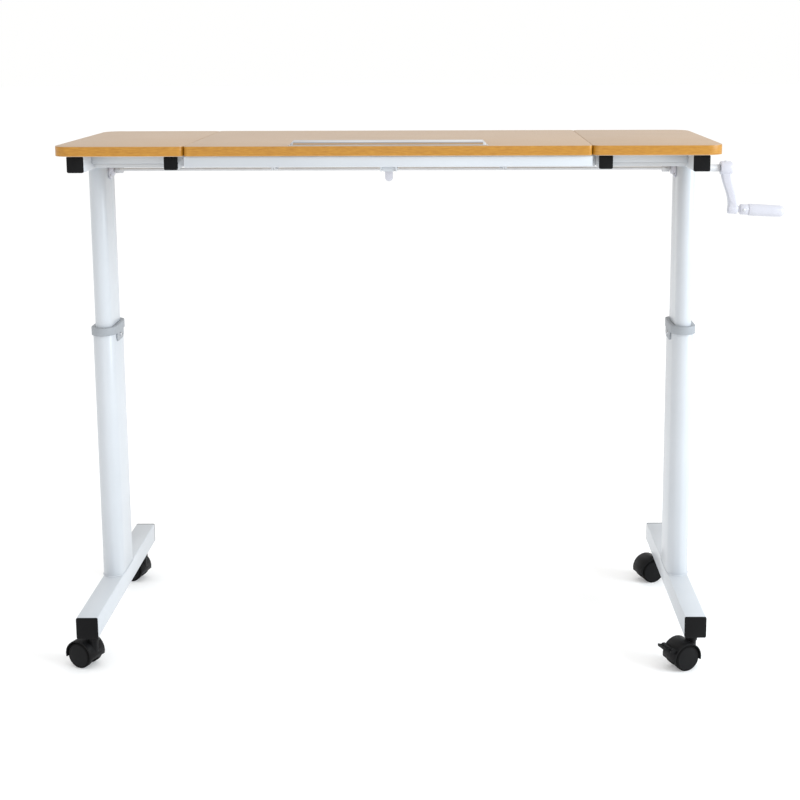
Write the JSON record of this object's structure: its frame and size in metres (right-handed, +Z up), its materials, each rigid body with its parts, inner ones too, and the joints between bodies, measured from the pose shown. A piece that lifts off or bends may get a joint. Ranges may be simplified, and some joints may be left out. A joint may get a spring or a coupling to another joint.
{
  "type": "overbed table",
  "caption": "Height-adjustable overbed table with a three-part top, tilting centre board, two telescopic columns, side crank and twin-wheel casters.",
  "frame": {"origin": "on the floor, at the middle of the outline of the whole table with its crank", "axes": "+X along the long side towards the crank, +Y away from the front edge with the book stop, +Z up"},
  "size_m": [1.3826, 0.4884, 0.9845],
  "materials": {
    "white_paint": "white powder coat, satin",
    "black_plastic": "black moulded plastic",
    "grey_plastic": "mid grey moulded plastic",
    "laminate": "beige laminate on board with an ochre wood edge band",
    "steel": "zinc plated steel",
    "aluminium": "natural anodised",
    "white_plastic": "white moulded plastic",
    "tyre_rubber": "black tread"
  },
  "bodies": {
    "left_base": {"left_outer_tube": "white_paint", "left_collar": "grey_plastic", "left_foot_tube": "white_paint", "left_foot_cap_front": "black_plastic", "left_foot_cap_rear": "black_plastic", "left_nut_post": "steel"},
    "right_base": {"right_outer_tube": "white_paint", "right_collar": "grey_plastic", "right_foot_tube": "white_paint", "right_foot_cap_front": "black_plastic", "right_foot_cap_rear": "black_plastic", "right_nut_post": "steel"},
    "top_frame": {"left_leaf": "laminate", "left_outer_beam": "white_paint", "left_inner_beam": "white_paint", "left_outer_beam_cap_front": "black_plastic", "left_outer_beam_cap_rear": "black_plastic", "left_inner_beam_cap_front": "black_plastic", "left_inner_beam_cap_rear": "black_plastic", "left_inner_tube": "white_paint", "left_shaft_bearing": "white_plastic", "left_ratchet_fixed_arm": "steel", "right_leaf": "laminate", "right_outer_beam": "white_paint", "right_inner_beam": "white_paint", "right_outer_beam_cap_front": "black_plastic", "right_outer_beam_cap_rear": "black_plastic", "right_inner_beam_cap_front": "black_plastic", "right_inner_beam_cap_rear": "black_plastic", "right_inner_tube": "white_paint", "right_shaft_bearing": "white_plastic", "right_ratchet_fixed_arm": "steel", "front_cross_rail": "white_paint", "rear_cross_rail": "white_paint"},
    "centre_top": {"centre_leaf": "laminate", "leaf_front_rail": "white_paint", "leaf_rear_rail": "white_paint", "left_ratchet_moving_arm": "steel", "right_ratchet_moving_arm": "steel"},
    "lever": {"release_lever": "white_plastic"},
    "stop": {"book_stop": "aluminium"},
    "crank": {"cross_shaft": "steel", "crank_arm": "white_plastic"},
    "grip": {"crank_grip": "white_plastic"},
    "left_screw": {"left_lift_screw": "steel"},
    "right_screw": {"right_lift_screw": "steel"},
    "front_left_caster": {"front_left_caster_housing": "black_plastic"},
    "front_left_wheel_a": {"front_left_wheel_a": "tyre_rubber"},
    "front_left_wheel_b": {"front_left_wheel_b": "tyre_rubber"},
    "front_right_caster": {"front_right_caster_housing": "black_plastic"},
    "front_right_wheel_a": {"front_right_wheel_a": "tyre_rubber"},
    "front_right_wheel_b": {"front_right_wheel_b": "tyre_rubber"},
    "front_right_brake": {"front_right_brake_pedal": "black_plastic"},
    "rear_left_caster": {"rear_left_caster_housing": "black_plastic"},
    "rear_left_wheel_a": {"rear_left_wheel_a": "tyre_rubber"},
    "rear_left_wheel_b": {"rear_left_wheel_b": "tyre_rubber"},
    "rear_left_brake": {"rear_left_brake_pedal": "black_plastic"},
    "rear_right_caster": {"rear_right_caster_housing": "black_plastic"},
    "rear_right_wheel_a": {"rear_right_wheel_a": "tyre_rubber"},
    "rear_right_wheel_b": {"rear_right_wheel_b": "tyre_rubber"}
  },
  "joints": [
    {"name": "lift", "type": "slide", "parent": "left_base", "child": "top_frame", "axis": [0, 0, 1], "range_m": [-0.27, 0.03]},
    {"name": "right_lift", "type": "slide", "parent": "top_frame", "child": "right_base", "axis": [0, 0, 1], "range_m": [-0.031, 0.271]},
    {"name": "crank_turn", "type": "hinge", "parent": "top_frame", "child": "crank", "pos_m": [0.5655, 0, 0.916], "axis": [1, 0, 0], "range_deg": [-1085, 9725]},
    {"name": "left_screw_turn", "type": "hinge", "parent": "top_frame", "child": "left_screw", "pos_m": [-0.6245, 0, 0.7], "axis": [0, 0, 1], "range_deg": [-9725, 1085]},
    {"name": "right_screw_turn", "type": "hinge", "parent": "top_frame", "child": "right_screw", "pos_m": [0.4955, 0, 0.7], "axis": [0, 0, 1], "range_deg": [-9725, 1085]},
    {"name": "grip_spin", "type": "hinge", "parent": "crank", "child": "grip", "pos_m": [0.5655, 0, 0.838], "axis": [0.9986, 0, -0.0523], "continuous": true},
    {"name": "leaf_tilt", "type": "hinge", "parent": "top_frame", "child": "centre_top", "pos_m": [-0.0645, -0.143, 0.94], "axis": [1, 0, 0], "range_deg": [0, 50]},
    {"name": "lever_release", "type": "hinge", "parent": "centre_top", "child": "lever", "pos_m": [-0.0645, -0.15, 0.932], "axis": [-1, 0, 0], "range_deg": [0, 25], "stiffness_Nm_per_rad": 0.2, "springref_deg": -5.73},
    {"name": "stop_slide", "type": "slide", "parent": "centre_top", "child": "stop", "axis": [0, 0, 1], "range_m": [-0.009, 0]},
    {"name": "front_left_swivel", "type": "hinge", "parent": "left_base", "child": "front_left_caster", "pos_m": [-0.6245, -0.205, 0.072], "axis": [0, 0, 1], "continuous": true},
    {"name": "front_left_roll_a", "type": "hinge", "parent": "front_left_caster", "child": "front_left_wheel_a", "pos_m": [-0.64277, -0.19687, 0.025], "axis": [0.4067, 0.9135, 0], "continuous": true},
    {"name": "front_left_roll_b", "type": "hinge", "parent": "front_left_caster", "child": "front_left_wheel_b", "pos_m": [-0.64277, -0.19687, 0.025], "axis": [0.4067, 0.9135, 0], "continuous": true},
    {"name": "front_right_swivel", "type": "hinge", "parent": "right_base", "child": "front_right_caster", "pos_m": [0.4955, -0.205, 0.072], "axis": [0, 0, 1], "continuous": true},
    {"name": "front_right_roll_a", "type": "hinge", "parent": "front_right_caster", "child": "front_right_wheel_a", "pos_m": [0.47723, -0.21313, 0.025], "axis": [-0.4067, 0.9135, 0], "continuous": true},
    {"name": "front_right_roll_b", "type": "hinge", "parent": "front_right_caster", "child": "front_right_wheel_b", "pos_m": [0.47723, -0.21313, 0.025], "axis": [-0.4067, 0.9135, 0], "continuous": true},
    {"name": "front_right_brake", "type": "hinge", "parent": "front_right_caster", "child": "front_right_brake", "pos_m": [0.44891, -0.22574, 0.044], "axis": [0.4067, -0.9135, 0], "range_deg": [0, 12]},
    {"name": "rear_left_swivel", "type": "hinge", "parent": "left_base", "child": "rear_left_caster", "pos_m": [-0.6245, 0.205, 0.072], "axis": [0, 0, 1], "continuous": true},
    {"name": "rear_left_roll_a", "type": "hinge", "parent": "rear_left_caster", "child": "rear_left_wheel_a", "pos_m": [-0.64372, 0.21051, 0.025], "axis": [0.2756, 0.9613, 0], "continuous": true},
    {"name": "rear_left_roll_b", "type": "hinge", "parent": "rear_left_caster", "child": "rear_left_wheel_b", "pos_m": [-0.64372, 0.21051, 0.025], "axis": [0.2756, 0.9613, 0], "continuous": true},
    {"name": "rear_left_brake", "type": "hinge", "parent": "rear_left_caster", "child": "rear_left_brake", "pos_m": [-0.67352, 0.21906, 0.044], "axis": [-0.2756, -0.9613, 0], "range_deg": [0, 12]},
    {"name": "rear_right_swivel", "type": "hinge", "parent": "right_base", "child": "rear_right_caster", "pos_m": [0.4955, 0.205, 0.072], "axis": [0, 0, 1], "continuous": true},
    {"name": "rear_right_roll_a", "type": "hinge", "parent": "rear_right_caster", "child": "rear_right_wheel_a", "pos_m": [0.47665, 0.19832, 0.025], "axis": [-0.3338, 0.9426, 0], "continuous": true},
    {"name": "rear_right_roll_b", "type": "hinge", "parent": "rear_right_caster", "child": "rear_right_wheel_b", "pos_m": [0.47665, 0.19832, 0.025], "axis": [-0.3338, 0.9426, 0], "continuous": true}
  ],
  "couplings": [
    {"joint": "right_lift", "follows": "lift", "ratio": -1},
    {"joint": "crank_turn", "follows": "lift", "rad_per_m": -628.32},
    {"joint": "left_screw_turn", "follows": "lift", "rad_per_m": 628.32},
    {"joint": "right_screw_turn", "follows": "lift", "rad_per_m": 628.32}
  ]
}
